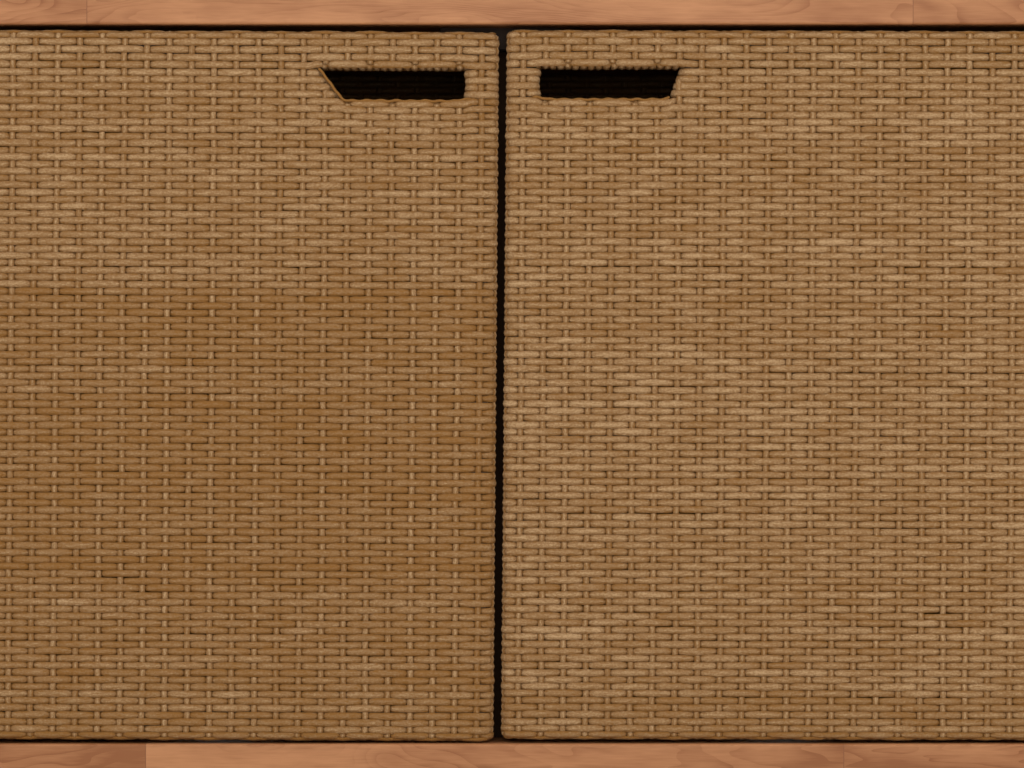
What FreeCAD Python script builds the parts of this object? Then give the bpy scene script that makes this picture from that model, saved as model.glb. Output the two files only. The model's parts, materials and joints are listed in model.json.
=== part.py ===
import FreeCAD, Part
import math
import os

# Console cabinet for a television: a solid wood top board, bottom board and corner posts,
# woven panels at the sides and back, and a pair of woven doors hung on pivots.
# Millimetres. X runs to the right, Y to the back and Z up.
# The origin is on the floor, under the middle of the cabinet.

os.makedirs("parts", exist_ok=True)
V = FreeCAD.Vector

# ---- driving dimensions of the carcase ----
overall_width = 1067.0
overall_depth = 480.0
overall_height = 710.0
top_thickness = 35.0
bottom_thickness = 35.0
post_size = 45.0
floor_clearance = 100.0      # floor to the underside of the bottom board
edge_ease = 2.0              # rounding of every edge that a hand meets
partition_thickness = 22.0
partition_setback = 50.0     # cabinet front to the partition's front edge
cable_rail_height = 80.0
cable_rail_thickness = 20.0
cable_port_radius = 30.0
cable_port_offset = 245.0    # cabinet's middle to a port's axis
liner_wall = 2.0
liner_flange = 4.0
liner_flange_thickness = 2.0

# ---- shelves ----
shelf_thickness = 18.0
shelf_height = 400.0         # floor to a shelf's underside
shelf_setback = 55.0         # cabinet front to a shelf's front edge
shelf_side_gap = 1.0
shelf_back_gap = 6.0
batten_width = 25.0
batten_thickness = 20.0
pin_radius = 2.5
pin_depth = 10.0
pin_reach = 8.0
pin_pitch = 32.0
pin_rows_each_way = 4

# ---- fasteners and feet ----
dowel_radius = 4.0
dowel_half_length = 15.0
dowel_edge = 12.0            # a dowel's axis to the end of the piece that it joins
bolt_radius = 4.0
bolt_head_radius = 8.0
bolt_head_depth = 5.0
bolt_reach = 45.0            # how far a bolt runs into the bottom board
nut_radius = 7.0
nut_beyond_bolt = 4.0        # a barrel nut's length past the bolt's axis
nut_setback = 8.0            # bolt's tip to a nut's axis
screw_radius = 1.75
screw_head_radius = 3.5
screw_head_depth = 2.0
screw_length = 20.0
batten_screw_length = 36.0
glide_radius = 14.0
glide_height = 5.0
glide_stem_radius = 3.0
glide_stem_length = 18.0

# ---- square tube and woven covering ----
tube_size = 14.0
tube_wall = 1.5
door_weave = 7.0             # depth of the weaving over a door's tubes
panel_weave = 5.0            # depth of the weaving over a fixed panel's tubes
weave_edge_radius = 8.0
panel_edge_radius = 4.0
panel_inset = 5.0            # cabinet's outer face to a fixed panel's outer face
groove_depth = 6.0
groove_clearance = 0.3
panel_top_groove = 5.0       # depth of the grooves under the top board that the panels enter
panel_gap_above = 0.5        # panel's top edge to the groove's floor

# ---- doors ----
door_gap_top = 4.0
door_gap_bottom = 2.0
door_gap_side = 3.5
door_gap_middle = 4.5
grip_height = 23.0
grip_length = {"left": 108.0, "right": 104.0}
grip_slant = {"left": 17.0, "right": 8.0}    # how far the far end leans
grip_lining = 6.0            # depth of the weaving around the finger hole
grip_top_gap = 1.5           # door's top tube to the finger hole's lining
grip_inner_gap = 0.0         # door's meeting tube to the finger hole's lining
grip_corner = 3.0

# ---- pivots and catch ----
pivot_radius = 4.0
pivot_shoulder_radius = 6.0
pivot_plug_length = 25.0
pivot_reach = 10.0
shoulder_clearance = 0.3
bush_clearance = 0.05
bush_wall = 2.0
bush_flange_radius = 9.0
bush_flange_thickness = 1.0
bush_end_gap = 1.0
washer_clearance = 0.15
washer_outer_radius = 7.5
catch_width = 92.0
catch_depth = 16.0
catch_height = 16.0
catch_gap = 0.3
catch_screw_inset = 6.5       # housing's end to a screw's axis
magnet_width = 20.0
magnet_depth = 9.0
magnet_height = 9.0
magnet_offset = 22.0
strike_width = 26.0
strike_height = 20.0
strike_thickness = 1.5
strike_screw_spread = 8.0
strike_screw_length = 12.0

# ---- places worked out from the sizes above ----
half_width = overall_width / 2
half_depth = overall_depth / 2
front = -half_depth
back = half_depth
post_top = overall_height - top_thickness
post_inner = half_width - post_size
floor_of_bay = floor_clearance + bottom_thickness
door_thickness = tube_size + 2 * door_weave
panel_thickness = tube_size + 2 * panel_weave
door_width = post_inner - door_gap_side - door_gap_middle / 2
door_bottom = floor_of_bay + door_gap_bottom
door_top = post_top - door_gap_top
pivot_x = post_inner - door_gap_side - door_thickness / 2
pivot_y = front + door_thickness / 2
grip_inner = door_weave + tube_size + grip_inner_gap + grip_lining
grip_top_z = door_top - door_weave - tube_size - grip_top_gap - grip_lining
grip_bottom_z = grip_top_z - grip_height
side_panel_outer = half_width - panel_inset
side_panel_inner = side_panel_outer - panel_thickness
back_panel_outer = back - panel_inset
back_panel_inner = back_panel_outer - panel_thickness
post_back_face = front + post_size
rear_post_front_face = back - post_size
cable_rail_top = floor_of_bay + cable_rail_height
cable_port_z = floor_of_bay + cable_rail_height / 2
cable_rail_front = back_panel_inner
panel_top = post_top + panel_top_groove - panel_gap_above
side_panel_reach = half_depth - post_size + groove_depth - groove_clearance
back_panel_reach = post_inner + groove_depth - groove_clearance
batten_outer = side_panel_inner - groove_clearance
batten_inner = batten_outer - batten_thickness
shelf_outer = min(batten_inner, post_inner) - shelf_side_gap
SIDES = {"left": -1, "right": 1}


# ---- small helpers ----
def box(x0, x1, y0, y1, z0, z1):
    low = V(min(x0, x1), min(y0, y1), min(z0, z1))
    return Part.makeBox(abs(x1 - x0), abs(y1 - y0), abs(z1 - z0), low)


def rod(radius, start, direction, length):
    return Part.makeCylinder(radius, length, V(*start), V(*direction))


def rounded(shape, radius):
    """Every edge of the shape rounded to one radius."""
    return shape.makeFillet(radius, shape.Edges)


def prism(points, y0, y1):
    """A polygon given as (x, z) corners, standing between two depths."""
    corners = [V(x, y0, z) for x, z in points]
    outline = Part.makePolygon(corners + corners[:1])
    return Part.Face(outline).extrude(V(0, y1 - y0, 0))


def cut_all(shape, tools):
    return shape.cut(Part.makeCompound(tools)) if tools else shape


def save(name, *solids):
    pieces = [solid for shape in solids for solid in shape.Solids]
    shape = pieces[0] if len(pieces) == 1 else Part.makeCompound(pieces)
    shape.exportStep("parts/" + name + ".step")


# ---- fasteners, each made where it sits; the pieces that hold them are cut to the same shape ----
def screw(place, direction, length):
    """A countersunk screw. Its place is the middle of its head, and direction is the way it goes in."""
    head = Part.makeCone(screw_head_radius, screw_radius, screw_head_depth, V(*place), V(*direction))
    shank = rod(screw_radius, place, direction, length)
    return head.fuse(shank)


def dowel(middle, direction):
    start = V(*middle) - V(*direction) * dowel_half_length
    return rod(dowel_radius, start, direction, 2 * dowel_half_length)


def all_dowels():
    made = []
    for side in SIDES.values():
        for sign in (-1, 1):
            x = side * (half_width - post_size / 2)
            y = sign * (half_depth - post_size / 2)
            made.append(dowel((x, y, post_top), (0, 0, 1)))
            rail_end = sign * (half_depth - post_size)
            for offset in (-dowel_edge, dowel_edge):
                z = floor_clearance + bottom_thickness / 2
                made.append(dowel((x + offset, rail_end, z), (0, 1, 0)))
        for offset in (-cable_rail_height / 4, cable_rail_height / 4):
            y = cable_rail_front + cable_rail_thickness / 2
            made.append(dowel((side * post_inner, y, cable_port_z + offset), (1, 0, 0)))
    partition_front = front + partition_setback
    for y in (partition_front + 3 * dowel_edge, back_panel_inner - 3 * dowel_edge):
        for z in (floor_of_bay, post_top):
            made.append(dowel((0, y, z), (0, 0, 1)))
    return made


def bolt_places():
    """Where each bolt enters a post: x, y, z and the side."""
    z = floor_clearance + bottom_thickness / 2
    return [
        (side * half_width, sign * (half_depth - post_size / 2), z, side)
        for side in SIDES.values()
        for sign in (-1, 1)
    ]


def frame_bolts():
    made = []
    for x, y, z, side in bolt_places():
        head = rod(bolt_head_radius, (x, y, z), (-side, 0, 0), bolt_head_depth)
        shank = rod(bolt_radius, (x, y, z), (-side, 0, 0), post_size + bolt_reach)
        made.append(head.fuse(shank))
    return made


def nut_pockets():
    """The round holes that the barrel nuts fill, up from the bottom board's underside."""
    height = bottom_thickness / 2 + bolt_radius + nut_beyond_bolt
    return [
        rod(nut_radius, (side * (post_inner - bolt_reach + nut_setback), y, floor_clearance),
            (0, 0, 1), height)
        for x, y, z, side in bolt_places()
    ]


def barrel_nuts():
    bolts = frame_bolts()
    return [nut.cut(bolt) for nut, bolt in zip(nut_pockets(), bolts)]


def foot_glides():
    made = []
    for side in SIDES.values():
        for sign in (-1, 1):
            x = side * (half_width - post_size / 2)
            y = sign * (half_depth - post_size / 2)
            disc = rod(glide_radius, (x, y, 0), (0, 0, 1), glide_height)
            bottom_edge = [e for e in disc.Edges if e.BoundBox.ZMax < glide_height / 2]
            disc = disc.makeFillet(glide_height / 4, bottom_edge)
            stem = rod(glide_stem_radius, (x, y, glide_height), (0, 0, 1), glide_stem_length)
            made.append(disc.fuse(stem))
    return made


# ---- carcase ----
def pivot_bushes():
    """Flanged bushes: one under the top board and one on the bottom board for each door."""
    bore_radius = pivot_radius + bush_clearance
    depth = pivot_reach + bush_end_gap
    made = []
    for side in SIDES.values():
        for z, up in ((post_top, 1), (floor_of_bay, -1)):
            place = (side * pivot_x, pivot_y, z)
            sleeve = rod(bore_radius + bush_wall, place, (0, 0, up), depth)
            flange = rod(bush_flange_radius, place, (0, 0, -up), bush_flange_thickness)
            mouth = (side * pivot_x, pivot_y, z - up * bush_flange_thickness)
            bore = rod(bore_radius, mouth, (0, 0, up), depth + bush_flange_thickness)
            made.append(sleeve.fuse(flange).cut(bore))
    return made


def bush_holes():
    radius = pivot_radius + bush_clearance + bush_wall
    depth = pivot_reach + bush_end_gap
    return [
        rod(radius, (side * pivot_x, pivot_y, z), (0, 0, up), depth)
        for side in SIDES.values()
        for z, up in ((post_top, 1), (floor_of_bay, -1))
    ]


def catch_screws():
    place_y = front + door_thickness + strike_thickness + catch_gap + catch_depth / 2
    offset = catch_width / 2 - catch_screw_inset
    return [
        screw((x, place_y, post_top - catch_height), (0, 0, 1), screw_length + catch_height)
        for x in (-offset, offset)
    ]


def top_grooves():
    """The grooves under the top board that the upper edges of the three fixed panels enter."""
    c = groove_clearance
    z0, z1 = post_top, post_top + panel_top_groove
    reach = back_panel_reach + c
    made = [box(-reach, reach, back_panel_inner - c, back_panel_outer + c, z0, z1)]
    reach = side_panel_reach + c
    for side in SIDES.values():
        x0, x1 = side * (side_panel_inner - c), side * (side_panel_outer + c)
        made.append(box(x0, x1, -reach, reach, z0, z1))
    return made


def top_board(tools):
    board = rounded(box(-half_width, half_width, front, back, post_top, overall_height), edge_ease)
    return cut_all(board, tools + top_grooves())


def bottom_board(tools):
    board = box(-post_inner, post_inner, front, back, floor_clearance, floor_of_bay)
    long_edges = [e for e in board.Edges if abs(e.tangentAt(e.FirstParameter).x) > 0.9]
    return cut_all(board.makeFillet(edge_ease, long_edges), tools)


def post(side, sign, tools):
    """A corner post with the grooves that hold the side panel, and the back panel at the rear."""
    x0, x1 = side * post_inner, side * half_width
    y0, y1 = sign * (half_depth - post_size), sign * half_depth
    made = box(x0, x1, y0, y1, glide_height, post_top)
    uprights = [e for e in made.Edges if abs(e.tangentAt(e.FirstParameter).z) > 0.9]
    made = made.makeFillet(edge_ease, uprights)
    groove_x0 = side * (side_panel_outer + groove_clearance)
    groove_x1 = side * (side_panel_inner - groove_clearance)
    grooves = [box(groove_x0, groove_x1, y0, y0 + sign * groove_depth, floor_of_bay, post_top)]
    if sign > 0:
        groove_y0 = back_panel_inner - groove_clearance
        groove_y1 = back_panel_outer + groove_clearance
        bottom = cable_rail_top
        grooves.append(box(x0, x0 + side * groove_depth, groove_y0, groove_y1, bottom, post_top))
    return cut_all(made, grooves + tools)


def lower_rail(side, tools):
    y = half_depth - post_size
    rail = box(side * post_inner, side * half_width, -y, y, floor_clearance, floor_of_bay)
    outer = [
        e for e in rail.Edges
        if abs(e.tangentAt(e.FirstParameter).y) > 0.9 and abs(e.CenterOfMass.x) > post_inner + 1
    ]
    return cut_all(rail.makeFillet(edge_ease, outer), tools)


def cable_rail(tools):
    y0, y1 = cable_rail_front, cable_rail_front + cable_rail_thickness
    rail = box(-post_inner, post_inner, y0, y1, floor_of_bay, cable_rail_top)
    ports = [
        rod(cable_port_radius, (side * cable_port_offset, y0, cable_port_z), (0, 1, 0), cable_rail_thickness)
        for side in SIDES.values()
    ]
    return cut_all(rail, ports + tools)


def cable_port_liners():
    made = []
    length = cable_rail_thickness + liner_flange_thickness
    for side in SIDES.values():
        x = side * cable_port_offset
        place = (x, cable_rail_front, cable_port_z)
        sleeve = rod(cable_port_radius, place, (0, 1, 0), length)
        outer = (x, cable_rail_front + cable_rail_thickness, cable_port_z)
        flange = rod(cable_port_radius + liner_flange, outer, (0, 1, 0), liner_flange_thickness)
        bore = rod(cable_port_radius - liner_wall, place, (0, 1, 0), length)
        made.append(sleeve.fuse(flange).cut(bore))
    return made


def shelf_pin_places():
    """Each pin's x, y and the way it goes in, for the battens and for the partition."""
    front_y = post_back_face + batten_width / 2
    rear_y = rear_post_front_face - batten_width / 2
    made = []
    for side in SIDES.values():
        for y in (front_y, rear_y):
            made.append((side * batten_inner, y, side))
            made.append((side * partition_thickness / 2, y, -side))
    return made


def shelf_pins():
    z = shelf_height - pin_radius
    return [
        rod(pin_radius, (x - way * pin_reach, y, z), (way, 0, 0), pin_reach + pin_depth)
        for x, y, way in shelf_pin_places()
    ]


def pin_holes():
    rows = range(-pin_rows_each_way, pin_rows_each_way + 1)
    return [
        rod(pin_radius, (x, y, shelf_height - pin_radius + row * pin_pitch), (way, 0, 0), pin_depth)
        for x, y, way in shelf_pin_places()
        for row in rows
    ]


def batten_screws():
    made = []
    x = (batten_outer + post_inner) / 2
    for side in SIDES.values():
        for y, way in ((post_back_face + batten_width, -1), (rear_post_front_face - batten_width, 1)):
            for z in (floor_of_bay + batten_width * 2, post_top - batten_width * 2):
                made.append(screw((side * x, y, z), (0, way, 0), batten_screw_length))
    return made


def shelf_battens(side, tools):
    made = []
    for y0, y1 in (
        (post_back_face, post_back_face + batten_width),
        (rear_post_front_face - batten_width, rear_post_front_face),
    ):
        batten = box(side * batten_outer, side * batten_inner, y0, y1, floor_of_bay, post_top)
        made.append(cut_all(batten, tools))
    return made


def centre_partition(tools):
    half = partition_thickness / 2
    y0 = front + partition_setback
    return cut_all(box(-half, half, y0, back_panel_inner - 1, floor_of_bay, post_top), tools)


def shelf(side):
    x0 = side * (partition_thickness / 2 + shelf_side_gap)
    x1 = side * shelf_outer
    y0, y1 = front + shelf_setback, back_panel_inner - shelf_back_gap
    board = box(x0, x1, y0, y1, shelf_height, shelf_height + shelf_thickness)
    return rounded(board, edge_ease / 2)


# ---- fixed woven panels ----
def tube_frame(x0, x1, y0, y1, z0, z1, uprights):
    """A welded rectangle of square tube, with spare uprights at the given places along it.

    The frame lies in the plane of its two longest sides; x or y is the thin way.
    """
    along_x = abs(x1 - x0) > abs(y1 - y0)
    low, high = (x0, x1) if along_x else (y0, y1)
    thin0, thin1 = (y0, y1) if along_x else (x0, x1)

    def member(a0, a1, b0, b1, hollow):
        inner = tube_wall
        if along_x:
            outer = box(a0, a1, thin0, thin1, b0, b1)
        else:
            outer = box(thin0, thin1, a0, a1, b0, b1)
        a_in = (a0, a1) if hollow == "along" else (a0 + inner, a1 - inner)
        b_in = (b0, b1) if hollow == "up" else (b0 + inner, b1 - inner)
        t_in = (thin0 + inner, thin1 - inner)
        if along_x:
            core = box(*a_in, *t_in, *b_in)
        else:
            core = box(*t_in, *a_in, *b_in)
        return outer.cut(core)

    made = [
        member(low, low + tube_size, z0, z1, "up"),
        member(high - tube_size, high, z0, z1, "up"),
        member(low + tube_size, high - tube_size, z0, z0 + tube_size, "along"),
        member(low + tube_size, high - tube_size, z1 - tube_size, z1, "along"),
    ]
    for middle in uprights:
        start = middle - tube_size / 2
        made.append(member(start, start + tube_size, z0 + tube_size, z1 - tube_size, "up"))
    return made


def woven_shell(x0, x1, y0, y1, z0, z1, weave, radius):
    """The weaving as one closed shell of its own depth around the tubes."""
    outer = rounded(box(x0, x1, y0, y1, z0, z1), radius)
    core = box(
        min(x0, x1) + weave, max(x0, x1) - weave,
        min(y0, y1) + weave, max(y0, y1) - weave,
        min(z0, z1) + weave, max(z0, z1) - weave,
    )
    return outer.cut(core)


def side_panel(side):
    """The tubes and the weaving of one side panel, which sits in the posts' grooves."""
    x0, x1 = side * side_panel_inner, side * side_panel_outer
    reach = side_panel_reach
    z0, z1 = floor_of_bay, panel_top
    weaving = woven_shell(x0, x1, -reach, reach, z0, z1, panel_weave, panel_edge_radius)
    w = panel_weave
    low_x, high_x = min(x0, x1) + w, max(x0, x1) - w
    frame = tube_frame(low_x, high_x, -reach + w, reach - w, z0 + w, z1 - w, [0.0])
    return frame, weaving


def back_panel():
    reach = back_panel_reach
    y0, y1 = back_panel_inner, back_panel_outer
    z0, z1 = cable_rail_top, panel_top
    weaving = woven_shell(-reach, reach, y0, y1, z0, z1, panel_weave, panel_edge_radius)
    w = panel_weave
    thirds = (2 * reach - 2 * w) / 3
    uprights = [-thirds / 2, thirds / 2]
    frame = tube_frame(-reach + w, reach - w, y0 + w, y1 - w, z0 + w, z1 - w, uprights)
    return frame, weaving


# ---- doors ----
class Door:
    """One door's places. u is the distance from its meeting edge towards its hinge edge."""

    def __init__(self, name):
        self.side = SIDES[name]
        self.slant = grip_slant[name]
        self.length = grip_length[name]
        self.frame_low = door_bottom + door_weave
        self.frame_high = door_top - door_weave
        self.y0 = front + door_weave
        self.y1 = self.y0 + tube_size
        self.far_u = door_width - door_weave

    def x(self, u):
        return self.side * (door_gap_middle / 2 + u)

    def block(self, u0, u1, z0, z1, y0=None, y1=None):
        y0 = self.y0 if y0 is None else y0
        y1 = self.y1 if y1 is None else y1
        return box(self.x(u0), self.x(u1), y0, y1, z0, z1)

    def upright(self, u0):
        outer = self.block(u0, u0 + tube_size, self.frame_low, self.frame_high)
        core = self.block(
            u0 + tube_wall, u0 + tube_size - tube_wall, self.frame_low, self.frame_high,
            self.y0 + tube_wall, self.y1 - tube_wall,
        )
        return outer.cut(core)

    def cross_tube(self, z0):
        u0, u1 = door_weave + tube_size, self.far_u - tube_size
        outer = self.block(u0, u1, z0, z0 + tube_size)
        core = self.block(
            u0, u1, z0 + tube_wall, z0 + tube_size - tube_wall,
            self.y0 + tube_wall, self.y1 - tube_wall,
        )
        return outer.cut(core)

    def grip_outline(self, grow):
        """The finger hole's corners as (x, z), grown outwards by a depth."""
        lean = self.slant / grip_height
        shift = grow * math.hypot(self.slant, grip_height) / grip_height
        top, bottom = grip_top_z + grow, grip_bottom_z - grow
        far_top = grip_inner + self.length + shift + lean * grow
        far_bottom = grip_inner + self.length - self.slant + shift - lean * grow
        return [
            (self.x(grip_inner - grow), bottom),
            (self.x(far_bottom), bottom),
            (self.x(far_top), top),
            (self.x(grip_inner - grow), top),
        ]

    def grip_post(self):
        """The short slanted tube at the finger hole's far end, between two cross tubes."""
        near = self.grip_outline(grip_lining)
        (x_low, z_low), (x_high, z_high) = near[1], near[2]
        wide = self.side * tube_size
        wall = self.side * tube_wall
        outer = prism([(x_low, z_low), (x_low + wide, z_low), (x_high + wide, z_high),
                       (x_high, z_high)], self.y0, self.y1)
        core = prism([(x_low + wall, z_low), (x_low + wide - wall, z_low),
                      (x_high + wide - wall, z_high), (x_high + wall, z_high)],
                     self.y0 + tube_wall, self.y1 - tube_wall)
        return outer.cut(core)

    def weaving(self):
        y0, y1 = front, front + door_thickness
        shell = woven_shell(
            self.x(0), self.x(door_width), y0, y1, door_bottom, door_top,
            door_weave, weave_edge_radius,
        )
        lining = prism(self.grip_outline(grip_lining), y0 + door_weave, y1 - door_weave)
        hole = prism(self.grip_outline(0), y0 - 1, y1 + 1)
        through = [e for e in hole.Edges if abs(e.tangentAt(e.FirstParameter).y) > 0.9]
        hole = hole.makeFillet(grip_corner, through)
        radius = pivot_shoulder_radius + shoulder_clearance
        shoulders = [
            rod(radius, (self.side * pivot_x, pivot_y, z), (0, 0, 1), door_weave)
            for z in (door_bottom, door_top - door_weave)
        ]
        return cut_all(shell.fuse(lining), [hole] + shoulders + strike_screws(self))

    def pivot(self, z_end, z_frame, way):
        """A plug in the hinge tube's end, with a shoulder and a pin. way is +1 upwards."""
        inner = tube_size / 2 - tube_wall
        x = self.side * pivot_x
        plug = box(x - inner, x + inner, pivot_y - inner, pivot_y + inner,
                   z_frame, z_frame - way * pivot_plug_length)
        shoulder = rod(pivot_shoulder_radius, (x, pivot_y, z_frame), (0, 0, way), door_weave)
        gap = door_gap_top if way > 0 else door_gap_bottom
        pin = rod(pivot_radius, (x, pivot_y, z_end), (0, 0, way), gap + pivot_reach)
        return plug.fuse(shoulder).fuse(pin)

    def washer(self):
        """Fills the space between the lower shoulder and the lower bush's flange."""
        x = self.side * pivot_x
        z = floor_of_bay + bush_flange_thickness
        height = door_bottom - z
        ring = rod(washer_outer_radius, (x, pivot_y, z), (0, 0, 1), height)
        return ring.cut(rod(pivot_radius + washer_clearance, (x, pivot_y, z), (0, 0, 1), height))


def strike_middle(door):
    z = door_top - strike_height / 2 - edge_ease
    return door.side * magnet_offset, front + door_thickness, z


def strike_screws(door):
    x, y, z = strike_middle(door)
    return [
        screw((x + offset, y + strike_thickness, z), (0, -1, 0), strike_screw_length)
        for offset in (-strike_screw_spread, strike_screw_spread)
    ]


def strike_plate(door):
    x, y, z = strike_middle(door)
    half = strike_width / 2
    plate = box(x - half, x + half, y, y + strike_thickness, z - strike_height / 2, z + strike_height / 2)
    across = [e for e in plate.Edges if abs(e.tangentAt(e.FirstParameter).y) > 0.9]
    return cut_all(plate.makeFillet(edge_ease, across), strike_screws(door))


# ---- catch under the top board ----
def catch_front():
    return front + door_thickness + strike_thickness + catch_gap


def catch_magnets():
    y = catch_front()
    z = post_top - (catch_height + magnet_height) / 2
    return [
        box(side * magnet_offset - magnet_width / 2, side * magnet_offset + magnet_width / 2,
            y, y + magnet_depth, z, z + magnet_height)
        for side in SIDES.values()
    ]


def catch_housing():
    y = catch_front()
    half = catch_width / 2
    body = box(-half, half, y, y + catch_depth, post_top - catch_height, post_top)
    uprights = [e for e in body.Edges if abs(e.tangentAt(e.FirstParameter).z) > 0.9]
    return cut_all(body.makeFillet(edge_ease, uprights), catch_magnets() + catch_screws())


# ---- build every piece ----
def build_carcase():
    dowels = all_dowels()
    bolts = frame_bolts()
    glides = foot_glides()
    screws = batten_screws()
    save("top_board", top_board(dowels + bush_holes() + catch_screws()))
    save("bottom_board", bottom_board(dowels + bush_holes() + bolts + nut_pockets()))
    for side_name, side in SIDES.items():
        for end_name, sign in (("front", -1), ("rear", 1)):
            tools = dowels + bolts + glides + screws
            save(end_name + "_" + side_name + "_post", post(side, sign, tools))
        save(side_name + "_lower_rail", lower_rail(side, dowels))
        save(side_name + "_shelf", shelf(side))
        save(side_name + "_shelf_battens", *shelf_battens(side, pin_holes() + screws))
        frame, weaving = side_panel(side)
        save(side_name + "_side_panel_frame", *frame)
        save(side_name + "_side_panel_weave", weaving)
    frame, weaving = back_panel()
    save("back_panel_frame", *frame)
    save("back_panel_weave", weaving)
    save("cable_rail", cable_rail(dowels))
    save("cable_port_liners", *cable_port_liners())
    save("centre_partition", centre_partition(dowels + pin_holes()))
    save("shelf_pins", *shelf_pins())
    save("batten_screws", *screws)
    save("dowels", *dowels)
    save("frame_bolts", *bolts)
    save("barrel_nuts", *barrel_nuts())
    save("foot_glides", *glides)
    save("pivot_bushes", *pivot_bushes())
    save("catch_housing", catch_housing())
    save("catch_magnets", *catch_magnets())
    save("catch_screws", *catch_screws())


def build_door(name):
    door = Door(name)
    prefix = name + "_door_"
    mid_z = (door.frame_low + grip_bottom_z - grip_lining) / 2 - tube_size
    save(prefix + "hinge_stile", door.upright(door.far_u - tube_size))
    screws = strike_screws(door)
    save(prefix + "meeting_stile", cut_all(door.upright(door_weave), screws))
    save(prefix + "top_rail", cut_all(door.cross_tube(door.frame_high - tube_size), screws))
    save(prefix + "grip_rail", door.cross_tube(grip_bottom_z - grip_lining - tube_size))
    save(prefix + "mid_rail", door.cross_tube(mid_z))
    save(prefix + "bottom_rail", door.cross_tube(door.frame_low))
    save(prefix + "grip_post", door.grip_post())
    save(prefix + "weave", door.weaving())
    save(prefix + "upper_pivot", door.pivot(door_top, door.frame_high, 1))
    save(prefix + "lower_pivot", door.pivot(door_bottom, door.frame_low, -1))
    save(prefix + "washer", door.washer())
    save(prefix + "strike_plate", strike_plate(door))
    save(prefix + "strike_screws", *screws)


build_carcase()
for door_name in SIDES:
    build_door(door_name)
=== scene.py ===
import json
import math

import bpy
import numpy as np
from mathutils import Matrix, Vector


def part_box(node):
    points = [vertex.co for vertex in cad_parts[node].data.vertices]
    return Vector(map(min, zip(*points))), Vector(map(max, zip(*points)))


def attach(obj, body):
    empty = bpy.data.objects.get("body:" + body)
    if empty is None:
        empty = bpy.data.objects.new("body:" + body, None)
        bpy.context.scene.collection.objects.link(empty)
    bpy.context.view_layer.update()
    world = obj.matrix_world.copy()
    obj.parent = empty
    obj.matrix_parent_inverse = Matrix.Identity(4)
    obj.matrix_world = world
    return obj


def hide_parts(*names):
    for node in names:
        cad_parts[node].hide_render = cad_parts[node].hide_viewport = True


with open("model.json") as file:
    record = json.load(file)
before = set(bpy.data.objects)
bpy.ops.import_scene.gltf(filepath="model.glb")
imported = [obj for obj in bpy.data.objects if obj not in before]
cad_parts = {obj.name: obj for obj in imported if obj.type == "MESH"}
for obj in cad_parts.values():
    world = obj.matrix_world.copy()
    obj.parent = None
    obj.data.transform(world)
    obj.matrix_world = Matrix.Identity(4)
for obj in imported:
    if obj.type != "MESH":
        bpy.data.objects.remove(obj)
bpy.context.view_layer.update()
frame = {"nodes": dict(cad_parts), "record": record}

bl_info = {
    "name": "Woven console cabinet",
    "version": (1, 0, 0),
    "blender": (4, 5, 0),
    "location": "3D View > Sidebar > Cabinet",
    "description": "Weaves the doors and panels of a console cabinet and finishes its wood and fittings",
    "category": "Object",
}

SIDES = ("left", "right")
MM = 0.001


# ---- colours and nodes ----
def colour(text):
    """An sRGB hex colour as linear red, green and blue."""
    parts = [int(text[i:i + 2], 16) / 255 for i in (1, 3, 5)]
    return tuple(c / 12.92 if c <= 0.04045 else ((c + 0.055) / 1.055) ** 2.4 for c in parts)


def fill_sockets(tree, node, sockets):
    """Gives each socket a value, or a link from an output or from a node's first output."""
    for socket, value in sockets.items():
        if isinstance(value, bpy.types.Node):
            value = value.outputs[0]
        if isinstance(value, bpy.types.NodeSocket):
            tree.links.new(value, node.inputs[socket])
        elif isinstance(value, tuple) and len(value) == 3 and node.inputs[socket].type == "RGBA":
            node.inputs[socket].default_value = (*value, 1.0)
        else:
            node.inputs[socket].default_value = value


def add_node(tree, kind, sockets=None, **settings):
    """Adds a node, sets its settings and fills its sockets."""
    node = tree.nodes.new(kind)
    for name, value in settings.items():
        setattr(node, name, value)
    fill_sockets(tree, node, sockets or {})
    return node


def new_material(name):
    """An empty material and its tree, with a Principled shader wired to the output."""
    material = bpy.data.materials.new(name)
    material.use_nodes = True
    tree = material.node_tree
    tree.nodes.clear()
    shader = add_node(tree, "ShaderNodeBsdfPrincipled")
    add_node(tree, "ShaderNodeOutputMaterial", {"Surface": shader})
    return material, tree, shader


def add_up(tree, total, parts):
    """Adds parts to a total, each times its weight."""
    for part, weight in parts:
        total = add_node(tree, "ShaderNodeMath", {0: part, 1: weight, 2: total}, operation="MULTIPLY_ADD")
    return total


def seen_ray(tree):
    """1 for a ray that the camera sees, straight or by reflection, and 0 for one that only lights."""
    path = add_node(tree, "ShaderNodeLightPath")
    seen = path.outputs["Is Camera Ray"]
    for ray in ("Is Glossy Ray", "Is Transmission Ray"):
        seen = add_node(tree, "ShaderNodeMath", {0: seen, 1: path.outputs[ray]}, operation="MAXIMUM")
    return seen


def set_ramp(node, stops):
    """Gives a colour ramp its stops, as pairs of place and colour."""
    band = node.color_ramp
    while len(band.elements) < len(stops):
        band.elements.new(0.5)
    for element, (place, shade) in zip(band.elements, stops):
        element.position = place
        element.color = (*shade, 1.0)


def paint(names, material):
    """Gives CAD nodes one material."""
    for name in names:
        mesh = frame["nodes"][name].data
        mesh.materials.clear()
        mesh.materials.append(material)


# ---- what a user may change ----
def length_property(name, description, default):
    return bpy.props.FloatProperty(
        name=name, description=description, default=default,
        unit="LENGTH", subtype="DISTANCE", precision=5)


def power_property(name, description, default):
    return bpy.props.FloatProperty(name=name, description=description, default=default, unit="POWER")


def colour_property(name, description, text):
    return bpy.props.FloatVectorProperty(
        name=name, description=description, default=colour(text), subtype="COLOR", min=0, max=1)


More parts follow.
